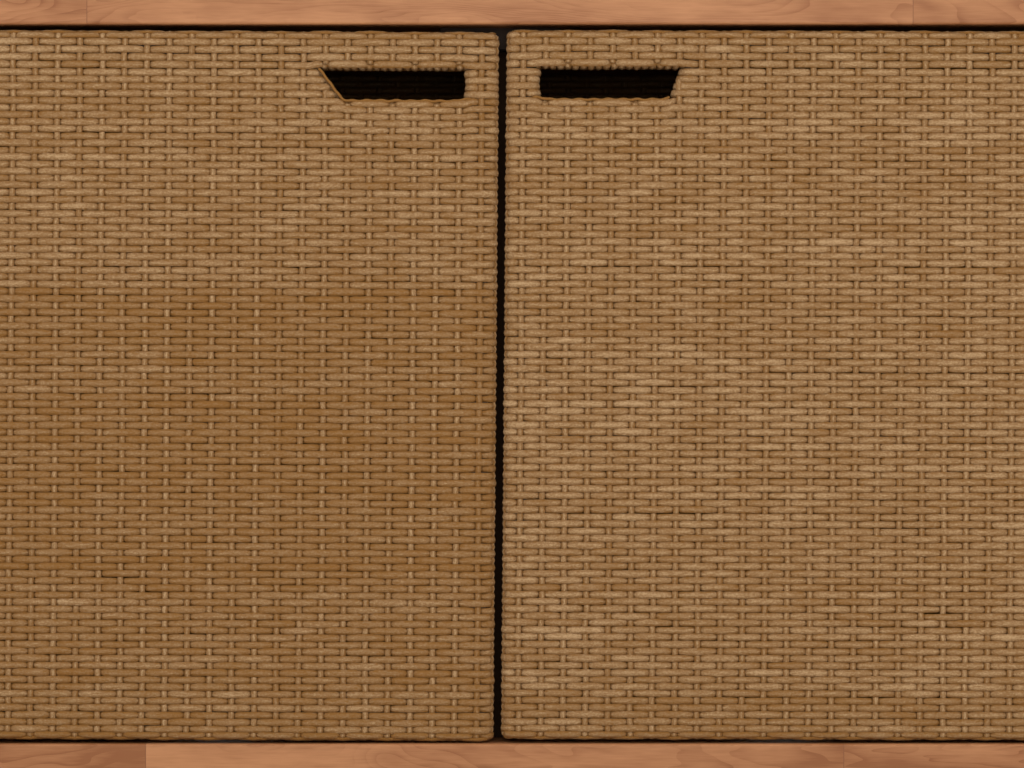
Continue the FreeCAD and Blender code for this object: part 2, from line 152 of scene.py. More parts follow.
class WeaveSizes(bpy.types.PropertyGroup):
    """Sizes of the woven strands."""

    course_rise: length_property("Course rise", "Height from one course to the next", 5.3 * MM)
    warp_pitch: length_property("Warp pitch", "Distance from one warp to the next, about", 16.6 * MM)
    strand_half_height: length_property(
        "Strand half height", "Half the height of a course's strand", 3.15 * MM)
    strand_half_depth: length_property(
        "Strand half depth", "Half the depth of a course's strand", 1.5 * MM)
    warp_half_width: length_property("Warp half width", "Half the width of an upright strand", 2.6 * MM)
    warp_half_depth: length_property("Warp half depth", "Half the depth of an upright strand", 1.3 * MM)
    wrap_pitch: length_property(
        "Wrap pitch", "Distance from one wrap to the next over a finger hole", 5.5 * MM)
    first_warp: length_property("First warp", "A door's free edge to its first warp", 13.3 * MM)
    lean: bpy.props.FloatProperty(
        name="Lean", description="How far a door's free edge leans, for each unit of height",
        default=0.0080, precision=4)
    left_sag: bpy.props.FloatProperty(
        name="Left sag", description="How far the left door's level edges fall, for each unit",
        default=0.0042, precision=4)
    right_sag: bpy.props.FloatProperty(
        name="Right sag", description="How far the right door's level edges fall, for each unit",
        default=0.0024, precision=4)
    left_slant: length_property("Left slant", "How far the left finger hole's far end leans", 17.0 * MM)
    right_slant: length_property("Right slant", "How far the right finger hole's far end leans", 8.0 * MM)


class FinishColours(bpy.types.PropertyGroup):
    """Colours of the finishes."""

    fibre_dark: colour_property("Fibre, dark", "Darkest fibres of the rope", "#835826")
    fibre_middle: colour_property("Fibre, middle", "Usual colour of the rope", "#916d46")
    fibre_light: colour_property("Fibre, light", "Palest fibres of the rope", "#b59269")
    cherry_dark: colour_property("Cherry, dark", "Late wood of the cherry boards", "#8e5730")
    cherry_light: colour_property("Cherry, light", "Early wood of the cherry boards", "#b87e52")


class StageSettings(bpy.types.PropertyGroup):
    """Floor, lamps and camera."""

    floor: colour_property("Floor", "Colour of the floor and backdrop", "#e9e7e3")
    key_power: power_property("Left lamp", "Power of the lamp above the front, to the left", 38.5)
    fill_power: power_property("Right lamp", "Power of the lamp above the front, to the right", 32.0)
    back_power: power_property("Back lamp", "Power of the lamp above and behind", 48.0)
    front_power: power_property("Front lamp", "Power of the lamp above the camera", 23.5)
    world_strength: bpy.props.FloatProperty(
        name="Room light", description="Strength of the even light from all round", default=0.34)
    backdrop_strength: bpy.props.FloatProperty(
        name="Backdrop", description="How pale the backdrop is seen and reflected", default=0.72)
    camera_height: length_property("Camera height", "Height of the camera above the floor", 0.405)
    camera_distance: length_property("Camera distance", "Camera to the doors' face", 2.7)
    focal_length: bpy.props.FloatProperty(
        name="Focal length", description="Focal length in millimetres", default=126.5)


# ---- strands: made flat and straight, then woven ----
def deselect_all():
    if bpy.context.object and bpy.context.object.mode != "OBJECT":
        bpy.ops.object.mode_set(mode="OBJECT")
    bpy.ops.object.select_all(action="DESELECT")


def repeat(obj, count, step, merge):
    """Copies a mesh along a step with an Array, and applies it."""
    array = obj.modifiers.new("repeat", "ARRAY")
    array.count = count
    array.use_relative_offset = False
    array.use_constant_offset = True
    array.constant_offset_displace = step
    array.use_merge_vertices = merge
    array.merge_threshold = 0.001
    bpy.ops.object.modifier_apply(modifier=array.name)


# Straight strands lie this far apart before they are woven, in their own radii.
COURSE_STEP = 4.0
# The full sizes below are for the doors' weave, and thinner weaves take a share of them.
DOOR_WEAVE = 7.0 * MM
LEAST_RADIUS = 1.2 * MM
UP = np.array([0, 0, 1.0])


def straight_strands(name, strands, sections, corners):
    """Strands side by side, each a run of rings one unit apart along X and one unit in radius."""
    deselect_all()
    bpy.ops.mesh.primitive_cylinder_add(
        vertices=corners, radius=1, depth=1, end_fill_type="NOTHING",
        location=(0.5, 0, 0), rotation=(0, math.pi / 2, 0))
    obj = bpy.context.active_object
    obj.name = name
    obj.data.name = name
    bpy.ops.object.transform_apply(location=True, rotation=True, scale=True)
    repeat(obj, sections, (1, 0, 0), True)
    repeat(obj, strands, (0, 0, COURSE_STEP), False)
    return obj


def lay(obj, path, slab):
    """Moves straight strands to their woven places, closes their seams, gives them their material, hangs
    them on their body and hides the CAD node.

    path holds arrays [strand, ring]: place, out and across as vectors, depth and height as half
    sizes, run as the distance along the strand, and tone.
    """
    mesh = obj.data
    flat = np.empty(len(mesh.vertices) * 3)
    mesh.vertices.foreach_get("co", flat)
    flat = flat.reshape(-1, 3)
    ring = np.rint(flat[:, 0]).astype(int)
    strand = np.rint(flat[:, 2] / COURSE_STEP).astype(int)
    outwards = flat[:, 1] * path["depth"][strand, ring]
    sideways = (flat[:, 2] - COURSE_STEP * strand) * path["height"][strand, ring]
    place = (
        path["place"][strand, ring]
        + path["out"][strand, ring] * outwards[:, None]
        + path["across"][strand, ring] * sideways[:, None]
    )
    mesh.vertices.foreach_set("co", place.ravel())
    along = mesh.attributes.new("along", "FLOAT_VECTOR", "POINT")
    fibre_place = np.stack(
        [path["run"][strand, ring], outwards, sideways + 0.05 * strand], axis=1)
    along.data.foreach_set("vector", fibre_place.ravel())
    tone = mesh.attributes.new("tone", "FLOAT", "POINT")
    tone.data.foreach_set("value", path["tone"][strand, ring].astype(float))
    bpy.ops.object.mode_set(mode="EDIT")
    bpy.ops.mesh.select_all(action="SELECT")
    bpy.ops.mesh.remove_doubles(threshold=0.02 * MM)
    bpy.ops.object.mode_set(mode="OBJECT")
    bpy.ops.object.shade_smooth()
    mesh.materials.clear()
    mesh.materials.append(slab.material)
    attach(obj, slab.body)
    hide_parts(slab.node)


def wander(rng, strands, rings, step, size):
    """Slow random drift along each strand, the same at its last ring as at its first."""
    knots = max(2, round(rings / step))
    values = rng.normal(0, size, (strands, knots))
    values = np.concatenate([values, values[:, :1]], axis=1)
    at = np.linspace(0, knots, rings + 1)
    low = np.minimum(at.astype(int), knots - 1)
    part = at - low
    part = part * part * (3 - 2 * part)
    return values[:, low] * (1 - part) + values[:, low + 1] * part


class Slab:
    """A panel that is woven all round. u runs along it, v out of its front, and z up."""

    def __init__(self, name, body, material, sizes, outwards, end_radius, edge_radius, weave_depth):
        self.name, self.node, self.body = name, name + "_weave", body
        self.material, self.sizes = material, sizes
        low, high = (np.array(corner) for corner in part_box(self.node))
        self.middle = (low + high) / 2
        self.v_axis = np.array([*outwards, 0.0])
        self.u_axis = np.array([outwards[1], -outwards[0], 0.0])
        half = (high - low) / 2
        self.half_u = abs(half @ self.u_axis)
        self.half_v = abs(half @ self.v_axis)
        self.half_z = half[2]
        self.end_radius = end_radius
        self.edge_radius = edge_radius
        self.depth_share = weave_depth / DOOR_WEAVE
        straight = 4 * (self.half_u + self.half_v - 2 * end_radius)
        self.loop = straight + 2 * math.pi * end_radius
        self.stitches = round(self.loop / (2 * sizes.warp_pitch))
        self.pitch = self.loop / (2 * self.stitches)
        # One boundary between courses is at the anchor.
        self.anchor = self.middle[2]
        self.hole = None
        self.lean = self.sag = self.phase = 0.0

    def outline(self, s, inset, half_u=None):
        """Places and outward directions (u, v) at distance s round the panel, moved in by inset."""
        half_u = self.half_u if half_u is None else half_u
        radius = self.end_radius
        end, arc, side = self.half_v - radius, radius * math.pi / 2, half_u - radius
        quarter = end + arc + side
        s = np.mod(s, 4 * quarter)
        turn = np.where(s >= 2 * quarter, -1.0, 1.0)
        s = np.mod(s, 2 * quarter)
        mirror = np.where(s > quarter, -1.0, 1.0)
        s = np.minimum(s, 2 * quarter - s)
        small = np.minimum(np.maximum(radius - inset, LEAST_RADIUS), self.half_v - inset - 0.05 * MM)
        end_in, side_in = self.half_v - inset - small, half_u - inset - small
        up_end = np.clip(s / max(end, 1e-9), 0, 1)
        angle = np.clip((s - end) / arc, 0, 1) * math.pi / 2
        along = np.clip((s - end - arc) / side, 0, 1)
        u = -side_in - small * np.cos(angle) + along * side_in
        v = up_end * end_in + small * np.sin(angle)
        return (
            turn * mirror * u, turn * v,
            -turn * mirror * np.cos(angle), turn * np.sin(angle),
        )

    def profile(self, t):
        """Inset, height and outward tilt at distance t up the face, on over the panel's edges."""
        middle = self.middle[2]
        way = np.where(t >= middle, 1.0, -1.0)
        radius = self.edge_radius
        past = np.abs(t - middle) - (self.half_z - radius)
        angle = np.clip(past / radius, 0, math.pi / 2)
        beyond = np.maximum(past - radius * math.pi / 2, 0)
        inset = radius * (1 - np.cos(angle)) + beyond
        straight = np.minimum(past, 0)
        height = self.half_z - radius + radius * np.sin(angle) + straight
        return inset, middle + way * height, way * angle

    def rows(self):
        """Each course's number, counted from the anchor, and its t."""
        rise, radius = self.sizes.course_rise, self.edge_radius
        reach = self.half_z - radius + radius * math.pi / 2 + self.half_v - radius - LEAST_RADIUS
        first = math.ceil((self.middle[2] - reach - self.anchor) / rise - 0.5)
        last = math.floor((self.middle[2] + reach - self.anchor) / rise - 0.5)
        numbers = np.arange(first, last + 1)
        heights = self.anchor + (numbers + 0.5) * rise
        if self.hole:
            # The courses open up a little at the finger hole, and close up again above it.
            heights = heights + np.where(heights > self.hole.high_z, 0.6 * MM, 0.0)
            heights = heights + np.maximum(heights - self.hole.high_z, 0) * 0.07
            heights = heights - np.where(heights < self.hole.low_z, 0.3 * MM, 0.0)
        return numbers, heights

    def round_hole(self, u, t):
        """t moved away from the finger hole, where a course passes close over it or under it."""
        if not self.hole:
            return t
        m = u * self.hole.way
        fade = 6 * MM
        inside = np.clip((m - self.hole.near) / fade + 1, 0, 1)
        inside = inside * np.clip((self.hole.far(t) - m) / fade + 1, 0, 1)
        inside = inside * inside * (3 - 2 * inside)
        above = np.exp(-np.maximum(t - self.hole.high_z, 0) / (11 * MM)) * (t > self.hole.high_z)
        below = np.exp(-np.maximum(self.hole.low_z - t, 0) / (16 * MM)) * (t < self.hole.low_z)
        return t + inside * (1.2 * MM * above - 2.0 * MM * below)

    def world(self, u, v, z):
        place = (
            self.middle * np.array([1, 1, 0])
            + u[..., None] * self.u_axis + v[..., None] * self.v_axis
            + z[..., None] * UP
        )
        # A woven door hangs a little out of square.
        off = place - self.middle
        across = np.array([1.0, 0, 0]) * self.lean
        return place + off[..., 2:3] * across - off[..., 0:1] * (UP * self.sag)

    def place(self, s, t, depth, shift_u=0.0, half_u=None):
        """World place, out and across for courses at s and t, sunk by depth."""
        level_u = self.outline(s, np.zeros_like(t), half_u)[0]
        inset, z, tilt = self.profile(self.round_hole(level_u + shift_u, t))
        u, v, nu, nv = self.outline(s, inset, half_u)
        flat_out = nu[..., None] * self.u_axis + nv[..., None] * self.v_axis
        cos, sin = np.cos(tilt)[..., None], np.sin(tilt)[..., None]
        out = flat_out * cos + UP * sin
        across = UP * cos - flat_out * sin
        place = self.world(u + shift_u, v, z) - out * depth[..., None]
        return place, out, across


# Where a course's rings lie in one stitch, in warp pitches from the warp that it dips behind,
# how deep it lies there and how thin it is.
FINE_STITCH = (
    (0, .13, .23, .42, .72, 1, 1.28, 1.58, 1.77, 1.87),
    (1, .70, .18, .02, 0, -.10, 0, .02, .18, .70),
    (.75, .82, .93, 1, 1, 1.02, 1, 1, .93, .82),
)
COARSE_STITCH = (
    (0, .2, .6, 1, 1.4, 1.8),
    (1, .5, .05, -.1, .05, .5),
    (.75, .9, 1, 1, 1, .9),
)
PANEL_STITCH = (
    (0, .16, .32, .6, 1, 1.4, 1.68, 1.84),
    (1, .6, .12, 0, -.12, 0, .12, .6),
    (.72, .86, 1, 1, 1, 1, 1, .86),
)
# How far strands lie below the panel's face: a course over and under a warp, and a warp.
OVER_DEPTH = 1.8 * MM
UNDER_DEPTH = 4.6 * MM
WARP_RAISED = 1.75 * MM
WARP_BETWEEN = 2.5 * MM
WARP_SUNK = 4.5 * MM
# The strand that binds a finger hole's lower edge, and the slant that it goes up as well.
LIP_DROP = 1.3 * MM
LIP_INSET = 1.9 * MM
LONG_SLANT = 12 * MM


def stitch_rings(stitches, front_stitch, back_stitch):
    """Distance in warp pitches, dip and thinness of every ring of one course."""
    parts = []
    for number in range(stitches):
        form = front_stitch if number < stitches / 2 else back_stitch
        place, dip, thin = (np.array(row, dtype=float) for row in form)
        parts.append(np.stack([place + 2 * number, dip, thin]))
    return np.concatenate(parts, axis=1)


def course_tones(rng, numbers, bands):
    """One shade for each course: a slow drift, and the bands where one bundle ends."""
    drift = np.cumsum(rng.normal(0, 0.10, len(numbers)))
    drift -= np.linspace(drift[0], drift[-1], len(numbers))
    tones = 0.2 * drift + rng.normal(0, 0.11, len(numbers))
    for first, last, shade in bands:
        tones += np.where((numbers >= first) & (numbers < last), shade, 0.0)
    return tones


def weave_courses(slab, seed, skip=(), bands=(), forms=(FINE_STITCH, COARSE_STITCH), corners=6):
    """The level strands of a panel: every second course in one piece, the others in another."""
    numbers, heights = slab.rows()
    sizes, share = slab.sizes, slab.depth_share
    rng = np.random.default_rng(seed)
    tones = course_tones(rng, numbers, bands)
    rings = stitch_rings(slab.stitches, *forms)
    count = rings.shape[1]
    closed = np.concatenate([rings, rings[:, :1]], axis=1)
    closed[0, -1] = 2 * slab.stitches
    turn, dips, thin = closed
    for parity, label in ((0, "even"), (1, "odd")):
        chosen = [
            i for i, number in enumerate(numbers)
            if number % 2 == parity and number not in skip
        ]
        lines = len(chosen)
        obj = straight_strands(slab.name + "_courses_" + label, lines, count, corners)
        s = np.repeat([(turn + parity) * slab.pitch + slab.phase], lines, axis=0)
        t = np.repeat(heights[chosen][:, None], count + 1, axis=1)
        t = t + wander(rng, lines, count, 5, 0.16 * MM)
        t = t + rng.normal(0, 0.12 * MM, (lines, 1))
        dip = dips * (1 + wander(rng, lines, count, 7, 0.05))
        depth = (OVER_DEPTH + (UNDER_DEPTH - OVER_DEPTH) * dip) * share
        depth = depth + wander(rng, lines, count, 6, 0.14 * MM)
        place, out, across = slab.place(s, t, depth)
        swell = 1 + wander(rng, lines, count, 6, 0.04)
        # The rim's own courses are thinner, and painted darker as painted shade along the panel's upper
        # and lower edges.
        reach = np.abs(t - slab.middle[2]) - slab.half_z
        rim = np.clip((reach + 4.5 * MM) / (2 * MM), 0, 1)
        shade = tones[chosen][:, None] + wander(rng, lines, count, 9, 0.16) - 0.45 * rim
        path = {
            "place": place, "out": out, "across": across,
            "depth": sizes.strand_half_depth * share * thin * swell,
            "height": sizes.strand_half_height * thin * swell * (1 - 0.12 * rim),
            "run": s + rng.uniform(0, 3, (lines, 1)),
            # Where a course dips behind a warp it is painted darker, as painted shade in the recess.
            "tone": shade - 0.15 * np.clip(dips, 0, 1),
        }
        lay(obj, path, slab)


def weave_warps(slab, seed, corners=6, between=True):
    """The upright strands, each from the middle of the lower edge round the face to the upper edge.

    A finger hole cuts the strands that meet it. Rings between the courses make a finer strand.
    """
    numbers, heights = slab.rows()
    rng = np.random.default_rng(seed)
    t_line = heights
    if between:
        t_line = np.sort(np.concatenate([heights, heights[1:] - slab.sizes.course_rise / 2]))
    runs = []
    for warp in range(2 * slab.stitches):
        raised = (numbers + warp) % 2 == 0
        depth = np.where(raised, WARP_RAISED, WARP_SUNK)
        if between:
            full = np.full(len(t_line), WARP_BETWEEN)
            full[::2] = depth
            depth = full
        keep = np.ones(len(t_line), bool)
        if slab.hole:
            u = slab.outline(np.array(warp * slab.pitch + slab.phase), np.array(0.0))[0]
            keep = ~slab.hole.holds(float(u), t_line, 2.5 * MM)
        start = None
        for i in range(len(t_line) + 1):
            if i < len(t_line) and keep[i]:
                start = i if start is None else start
            elif start is not None:
                runs.append((warp, np.arange(start, i), depth))
                start = None
    rings = max(len(run) for _, run, _ in runs) + 2
    shape = (len(runs), rings)
    s, t, sunk, thick, tone = (np.zeros(shape) for _ in range(5))
    for row, (warp, run, depth) in enumerate(runs):
        index = np.concatenate([[run[0]], run, np.full(rings - 1 - len(run), run[-1])])
        s[row] = warp * slab.pitch + slab.phase
        t[row] = t_line[index]
        sunk[row] = depth[index]
        thick[row, 1:len(run) + 1] = 1.0
        tone[row] = rng.normal(0, 0.15)
    s = s + wander(rng, len(runs), rings - 1, 6, 0.25 * MM)
    obj = straight_strands(slab.name + "_warps", len(runs), rings - 1, corners)
    place, out, _ = slab.place(s, t, sunk * slab.depth_share)
    _, _, nu, nv = slab.outline(s, np.zeros(shape))
    side_out = nu[..., None] * slab.u_axis + nv[..., None] * slab.v_axis
    path = {
        "place": place, "out": out, "across": np.cross(UP, side_out),
        "depth": slab.sizes.warp_half_depth * slab.depth_share * thick,
        "height": slab.sizes.warp_half_width * thick,
        "run": t + rng.uniform(0, 3, (len(runs), 1)),
        "tone": tone + 0.15,
    }
    lay(obj, path, slab)


class FingerHole:
    """One door's finger hole, in the panel's own u and z."""

    def __init__(self, slab, side):
        openings = frame["record"]["physics"]["openings"]
        low, high = next(o["box_m"] for o in openings if o["name"] == side + "_finger_hole")
        clear = 1.0 * MM
        self.low_z, self.high_z = low[2] - clear, high[2] + clear
        near_x, far_x = sorted((abs(low[0]), abs(high[0])))
        self.way = 1.0 if side == "left" else -1.0
        self.near = near_x - clear - abs(slab.middle[0])
        self.far_low = far_x + clear - abs(slab.middle[0])
        self.slant = slab.sizes.left_slant if side == "left" else slab.sizes.right_slant

    def far(self, z):
        """Distance of the slanted end from the panel's middle, towards the hinge, at height z."""
        return self.far_low + self.slant * (z - self.low_z) / (self.high_z - self.low_z)

    def holds(self, u, z, margin):
        m = u * self.way
        return (
            (m > self.near - margin) & (m < self.far(z) + margin)
            & (z > self.low_z) & (z < self.high_z)
        )


def weave_hole_courses(slab, seed):
    """The courses that the finger hole cuts: each goes round its near end, or round its far end."""
    numbers, heights = slab.rows()
    hole, sizes, radius = slab.hole, slab.sizes, slab.end_radius
    rings = stitch_rings(slab.stitches, FINE_STITCH, COARSE_STITCH)
    rng = np.random.default_rng(seed)
    loops = []
    for number, t in zip(numbers, heights):
        if not hole.low_z < t < hole.high_z:
            continue
        main_s = (rings[0] + number % 2) * slab.pitch + slab.phase
        main_u, main_v, _, _ = slab.outline(main_s, np.zeros_like(main_s))
        # The near end is a little hollow, so that its corners are round.
        corner = abs(2 * t - hole.low_z - hole.high_z) / (hole.high_z - hole.low_z)
        near = hole.near + 2.6 * MM * (corner ** 3 - 0.25)
        for m0, m1 in ((-slab.half_u, near), (hole.far(t), slab.half_u)):
            u0, u1 = sorted((m0 * hole.way, m1 * hole.way))
            half_u, shift = (u1 - u0) / 2, (u0 + u1) / 2
            end = slab.half_v - radius + radius * math.pi / 2
            side = 2 * (half_u - radius)
            turn = np.linspace(0, 1, 7) * end
            inner = (main_u > u0 + radius + 0.5 * MM) & (main_u < u1 - radius - 0.5 * MM)
            front = inner & (main_v > 0)
            rear = inner & (main_v < 0)
            front_s = end + main_u[front] - (u0 + radius)
            rear_s = end + side + 2 * end + (u1 - radius) - main_u[rear]
            plain = np.zeros(7)
            s = np.concatenate([turn, front_s, end + side + turn, 2 * end + side + turn[1:],
                                rear_s, 3 * end + 2 * side + turn])
            dips = np.concatenate([plain, rings[1][front], plain, plain[1:], rings[1][rear], plain])
            thin = np.concatenate([plain + 1, rings[2][front], plain + 1, plain[1:] + 1,
                                   rings[2][rear], plain + 1])
            order = np.argsort(s, kind="stable")
            loops.append((t, half_u, shift, s[order], dips[order], thin[order]))
    count = max(len(item[3]) for item in loops)
    shape = (len(loops), count)
    place, out, across = (np.zeros((*shape, 3)) for _ in range(3))
    thick, run, tone = np.zeros(shape), np.zeros(shape), np.zeros(shape)
    for row, (t, half_u, shift, s, dips, thin) in enumerate(loops):
        pad = count - len(s)
        s, dips, thin = (np.concatenate([a, np.full(pad, a[-1])]) for a in (s, dips, thin))
        depth = (OVER_DEPTH + (UNDER_DEPTH - OVER_DEPTH) * dips) * slab.depth_share
        heights_here = np.full(count, t)
        place[row], out[row], across[row] = slab.place(s, heights_here, depth, shift, half_u)
        thick[row], run[row] = thin, s + rng.uniform(0, 3)
        # Where a course dips behind a warp it is painted darker, as painted shade in the recess.
        tone[row] = rng.normal(0, 0.12) - 0.15 * np.clip(dips, 0, 1)
    obj = straight_strands(slab.name + "_hole_courses", len(loops), count - 1, 6)
    path = {
        "place": place, "out": out, "across": across,
        "depth": sizes.strand_half_depth * thick, "height": sizes.strand_half_height * thick,
        "run": run, "tone": tone,
    }
    lay(obj, path, slab)


def weave_hole_wraps(slab, seed):
    """Short strands wound round the bars above and below the finger hole."""
    rng = np.random.default_rng(seed)
    hole = slab.hole
    # Each ring's place below the panel's face, its distance into the bar and the way it faces,
    # from the front leg round the edge to the middle of the bar. The rear half mirrors them.
    v_half = slab.half_v - np.array([6.6, 6.6, 5.6, 3.9, 4.2, 6.5]) * MM
    z_half = np.array([8.0, 8.0, 4.0, 2.2, 1.3, 0.9]) * MM
    tilt_half = np.array([0, 0, 0, 30, 70, 90])
    v_line = np.concatenate([v_half, [0], -v_half[::-1]])
    tilt = np.radians(np.concatenate([tilt_half, [90], 180 - tilt_half[::-1]]))
    rings = len(v_line)
    thick = np.ones(rings)
    thick[[0, -1]] = 0
    for label, way, edge, drop in (
            ("upper", 1.0, hole.high_z, 0.0), ("lower", -1.0, hole.low_z, LIP_DROP)):
        span = hole.far(edge) - hole.near
        # One more wrap past each end closes the corners.
        count = int(span / slab.sizes.wrap_pitch) + 2
        pitch = span / (count - 2)
        m = hole.near + (np.arange(count) - 0.5) * pitch
        z_line = np.concatenate([z_half, z_half[-1:], z_half[::-1]]) + drop
        u = (m * hole.way)[:, None] + rng.normal(0, 0.2 * MM, (count, rings))
        v = np.repeat(v_line[None], count, axis=0)
        z = edge + way * (z_line[None] + rng.normal(0, 0.15 * MM, (count, 1)))
        place = slab.world(u, v, np.broadcast_to(z, u.shape))
        out = np.cos(tilt)[:, None] * slab.v_axis - way * np.sin(tilt)[:, None] * UP
        out = np.broadcast_to(out, place.shape)
        across = np.broadcast_to(way * slab.u_axis, place.shape)
        obj = straight_strands(slab.name + "_hole_wraps_" + label, count, rings - 1, 6)
        path = {
            "place": place, "out": out, "across": across,
            "depth": np.broadcast_to(1.4 * MM * thick, u.shape),
            "height": np.broadcast_to(0.5 * pitch * thick, u.shape),
            "run": np.broadcast_to(np.cumsum(np.full(rings, 4 * MM)), u.shape) + m[:, None],
            "tone": np.repeat(rng.normal(0, 0.2, (count, 1)), rings, axis=1),
        }
        lay(obj, path, slab)


def weave_hole_lip(slab, seed):
    """A thin wavy strand along the finger hole's lower edge, front and rear, and up a long slant."""
    rng = np.random.default_rng(seed)
    hole = slab.hole
    near, far_low, far_high = hole.near, hole.far_low, hole.far(hole.high_z)
    low, high = hole.low_z - LIP_DROP, hole.high_z
    corners = [
        (near - 7 * MM, low + 1.2 * MM), (near - 1.5 * MM, low + 1.9 * MM),
        (near + 2.0 * MM, low + 1.1 * MM), (near + 5 * MM, low), (far_low - 4 * MM, low),
        (far_low - 1 * MM, low + 0.8 * MM), (far_low + 0.8 * MM, low + 2.2 * MM),
    ]
    if hole.slant > LONG_SLANT:
        corners += [(far_high - 0.5 * MM, high - 1.5 * MM), (far_high + 1.5 * MM, high + 0.8 * MM)]
    corners = np.array(corners)
    legs = np.linalg.norm(np.diff(corners, axis=0), axis=1)
    stops = np.concatenate([[0], np.cumsum(legs)])
    rings = 81
    along = np.linspace(0, stops[-1], rings)
    m = np.interp(along, stops, corners[:, 0])
    z = np.interp(along, stops, corners[:, 1])
    z = z + 0.4 * MM * np.sin(along / (2 * slab.sizes.wrap_pitch) * 2 * math.pi)
    m, z = (m, z) if hole.way > 0 else (m[::-1], z[::-1])
    u = np.stack([m * hole.way, (m * hole.way)[::-1]])
    z = np.stack([z, z[::-1]]) + wander(rng, 2, rings - 1, 5, 0.12 * MM)
    v = np.stack([np.full(rings, way * (slab.half_v - LIP_INSET)) for way in (1, -1)])
    # The strand is painted darker up the slant, as painted shade on the hole's slanted edge.
    painted_slant_shade = np.clip((z - low - 3 * MM) / (6 * MM), 0, 1)
    thick = np.ones(rings)
    thick[[0, -1]] = 0
    place = slab.world(u, v, z)
    run = np.gradient(place, axis=1)
    run /= np.linalg.norm(run, axis=-1, keepdims=True)
    out = np.stack([np.broadcast_to(way * slab.v_axis, (rings, 3)) for way in (1, -1)])
    obj = straight_strands(slab.name + "_hole_lip", 2, rings - 1, 6)
    path = {
        "place": place, "out": out, "across": np.cross(run, out),
        "depth": np.broadcast_to(1.2 * MM * thick, u.shape),
        "height": np.broadcast_to(1.15 * MM * thick, u.shape),
        "run": u + 1.0, "tone": -1.6 - 1.8 * painted_slant_shade,
    }
    lay(obj, path, slab)


# ---- materials ----
STAVE_WIDTH = 68 * MM


def twisted_rope(colours):
    """Hand-twisted plant-fibre rope, left raw: matt, with broken fibres along each strand.

    The fibres run at a slight slant to the strand. They are drawn 6 mm long and 1.1 mm wide, and the
    flecks 1.9 by 1.3 mm, coarser than real ones so that they show.
    """
    material, tree, shader = new_material("twisted_fibre_rope")
    along = add_node(tree, "ShaderNodeAttribute", attribute_name="along").outputs["Vector"]
    tone = add_node(tree, "ShaderNodeAttribute", attribute_name="tone").outputs["Fac"]
    slant = add_node(tree, "ShaderNodeMapping", {
        "Vector": along, "Rotation": (0, 0.3, 0.3), "Scale": (170, 900, 900)})
    fibres = add_node(tree, "ShaderNodeTexNoise", {
        "Vector": slant, "Scale": 1.0, "Detail": 3.0, "Roughness": 0.6})
    fleck_place = add_node(tree, "ShaderNodeMapping", {
        "Vector": along, "Scale": (520, 760, 760)})
    flecks = add_node(tree, "ShaderNodeTexNoise", {
        "Vector": fleck_place, "Scale": 1.0, "Detail": 2.0, "Roughness": 0.7})
    lengths = add_node(tree, "ShaderNodeTexNoise", {
        "Vector": along, "Scale": 45.0, "Detail": 1.0})
    relief = add_up(tree, -0.6, ((fibres, 1.2), (flecks, 1.3)))
    # The strands' crests are left pale and their sides painted darker brown, as painted shade in the
    # creases between strands.
    across = add_node(tree, "ShaderNodeSeparateXYZ", {"Vector": along})
    side = add_node(tree, "ShaderNodeMapRange", {
        "Value": across.outputs["Y"], "From Min": 1.5 * MM, "From Max": 0.6 * MM,
        "To Min": 0.0, "To Max": 1.0})
    painted_side_shade = add_node(tree, "ShaderNodeMath", {0: side, 1: 1.7}, operation="POWER")
    shade = add_up(tree, relief, ((lengths, 0.35), (painted_side_shade, -0.7), (tone, 0.45)))
    shift = add_node(tree, "ShaderNodeMath", {0: shade, 1: 0.20}, operation="SUBTRACT")
    ramp = add_node(tree, "ShaderNodeValToRGB", {"Fac": shift})
    set_ramp(ramp, ((0.0, colours.fibre_dark), (0.5, colours.fibre_middle), (1.0, colours.fibre_light)))
    bump = add_node(tree, "ShaderNodeBump", {
        "Height": relief, "Strength": 0.7, "Distance": 0.5 * MM})
    fill_sockets(tree, shader, {
        "Base Color": ramp, "Normal": bump, "Roughness": 0.85, "Specular IOR Level": 0.25})
    return material


